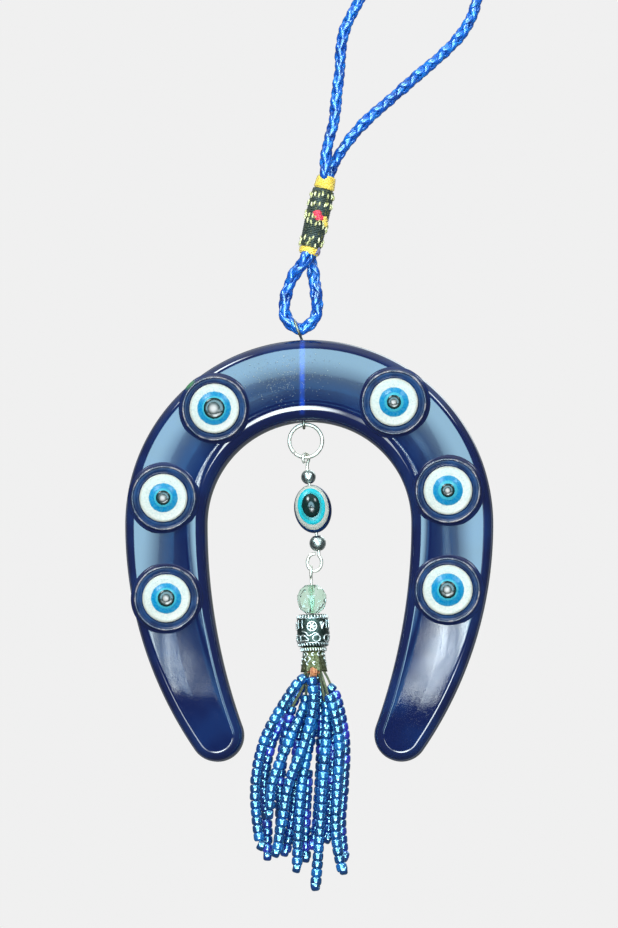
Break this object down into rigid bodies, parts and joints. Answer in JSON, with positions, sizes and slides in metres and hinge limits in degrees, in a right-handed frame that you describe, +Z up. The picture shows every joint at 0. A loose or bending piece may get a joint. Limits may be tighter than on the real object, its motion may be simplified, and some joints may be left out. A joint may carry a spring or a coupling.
{
  "type": "evil eye horseshoe ornament",
  "caption": "Hanging horseshoe charm with round eye discs, a braided cord loop, and a bead chain and tassel in its middle.",
  "frame": {"origin": "the middle of the cord at the top of the hanging loop, where a nail or hook holds it", "axes": "+Z up along the hanging direction, front of the horseshoe towards -Y, +X to the right seen from the front"},
  "size_m": [0.0804, 0.0105, 0.2091],
  "materials": {
    "braided_cord": "glossy braided nylon",
    "wrap_thread": "dark olive thread with yellow metallic flecks",
    "wrap_band": "satin yellow thread",
    "navy_resin": "polished translucent cast resin",
    "boss_resin": "polished cast resin",
    "eye_white": "cast resin under a clear coat",
    "eye_iris": "cast resin under a clear coat",
    "eye_pupil": "polished, domed",
    "steel_wire": "bright drawn wire",
    "silver_bead": "bright plated, lightly dulled",
    "oval_eye": "layered glossy resin",
    "clear_glass": "faceted, pale green",
    "antique_silver": "cast and oxidised in its recesses",
    "tassel_thread": "waxed brown and green thread",
    "seed_beads": "silver lined blue glass"
  },
  "bodies": {
    "hanging_cord": {"hanging_loop_cord": "braided_cord", "wrap_band_upper": "wrap_band", "wrap_sleeve": "wrap_thread", "wrap_band_lower": "wrap_band", "small_loop_cord": "braided_cord"},
    "hanger": {"hanger_wire": "steel_wire"},
    "horseshoe_body": {"horseshoe": "navy_resin", "eye_boss_left_upper": "boss_resin", "eye_white_left_upper": "eye_white", "eye_iris_left_upper": "eye_iris", "eye_pupil_left_upper": "eye_pupil", "eye_boss_left_middle": "boss_resin", "eye_white_left_middle": "eye_white", "eye_iris_left_middle": "eye_iris", "eye_pupil_left_middle": "eye_pupil", "eye_boss_left_lower": "boss_resin", "eye_white_left_lower": "eye_white", "eye_iris_left_lower": "eye_iris", "eye_pupil_left_lower": "eye_pupil", "eye_boss_right_upper": "boss_resin", "eye_white_right_upper": "eye_white", "eye_iris_right_upper": "eye_iris", "eye_pupil_right_upper": "eye_pupil", "eye_boss_right_middle": "boss_resin", "eye_white_right_middle": "eye_white", "eye_iris_right_middle": "eye_iris", "eye_pupil_right_middle": "eye_pupil", "eye_boss_right_lower": "boss_resin", "eye_white_right_lower": "eye_white", "eye_iris_right_lower": "eye_iris", "eye_pupil_right_lower": "eye_pupil"},
    "jump_ring_body": {"jump_ring": "steel_wire"},
    "eye_link": {"eye_pin": "steel_wire"},
    "upper_spacer": {"upper_spacer_bead": "silver_bead"},
    "oval_bead_body": {"oval_bead": "navy_resin", "oval_bead_eye_front": "oval_eye", "oval_bead_eye_back": "oval_eye"},
    "lower_spacer": {"lower_spacer_bead": "silver_bead"},
    "tassel": {"tassel_pin": "steel_wire", "bead_cap": "antique_silver", "tassel_knot": "tassel_thread"},
    "glass_bead_body": {"glass_bead": "clear_glass"},
    "barrel_bead_body": {"barrel_bead": "antique_silver"},
    "front_strands": {"bead_strand_01": "seed_beads", "bead_strand_02": "seed_beads", "bead_strand_03": "seed_beads", "bead_strand_04": "seed_beads", "bead_strand_05": "seed_beads", "bead_strand_06": "seed_beads"},
    "back_strands": {"bead_strand_07": "seed_beads", "bead_strand_08": "seed_beads", "bead_strand_09": "seed_beads", "bead_strand_10": "seed_beads", "bead_strand_11": "seed_beads", "bead_strand_12": "seed_beads", "bead_strand_13": "seed_beads"}
  },
  "joints": [
    {"name": "hanger_swing", "type": "hinge", "parent": "hanging_cord", "child": "hanger", "pos_m": [-0.02985, 0, -0.0852], "axis": [1, 0, 0], "range_deg": [-45, 45]},
    {"name": "horseshoe_twist", "type": "hinge", "parent": "hanger", "child": "horseshoe_body", "pos_m": [-0.0291, 0, -0.0965], "axis": [-0.0222, 0, 0.9998], "range_deg": [-40, 40]},
    {"name": "jump_ring_swing", "type": "hinge", "parent": "hanger", "child": "jump_ring_body", "pos_m": [-0.0289, 0, -0.10622], "axis": [1, 0, 0], "range_deg": [-25, 25]},
    {"name": "eye_link_swing", "type": "hinge", "parent": "jump_ring_body", "child": "eye_link", "pos_m": [-0.0285, 0, -0.1134], "axis": [1, 0, 0], "range_deg": [-25, 25]},
    {"name": "upper_spacer_spin", "type": "hinge", "parent": "eye_link", "child": "upper_spacer", "pos_m": [-0.02793, 0, -0.1177], "axis": [-0.1386, 0, 0.9903], "continuous": true},
    {"name": "oval_bead_spin", "type": "hinge", "parent": "eye_link", "child": "oval_bead_body", "pos_m": [-0.02695, 0, -0.1247], "axis": [-0.1386, 0, 0.9903], "continuous": true},
    {"name": "lower_spacer_spin", "type": "hinge", "parent": "eye_link", "child": "lower_spacer", "pos_m": [-0.0259, 0, -0.1322], "axis": [-0.1386, 0, 0.9903], "continuous": true},
    {"name": "tassel_swing", "type": "hinge", "parent": "eye_link", "child": "tassel", "pos_m": [-0.02735, 0, -0.13806], "axis": [1, 0, 0], "range_deg": [-25, 25]},
    {"name": "glass_bead_spin", "type": "hinge", "parent": "tassel", "child": "glass_bead_body", "pos_m": [-0.02717, 0, -0.14445], "axis": [-0.03, 0, 0.9996], "continuous": true},
    {"name": "barrel_bead_spin", "type": "hinge", "parent": "tassel", "child": "barrel_bead_body", "pos_m": [-0.02697, 0, -0.1513], "axis": [-0.03, 0, 0.9996], "continuous": true},
    {"name": "front_strands_swing", "type": "hinge", "parent": "tassel", "child": "front_strands", "pos_m": [-0.02671, 0, -0.16], "axis": [1, 0, 0], "range_deg": [-20, 0]},
    {"name": "back_strands_swing", "type": "hinge", "parent": "tassel", "child": "back_strands", "pos_m": [-0.02671, 0, -0.16], "axis": [1, 0, 0], "range_deg": [0, 20]}
  ]
}
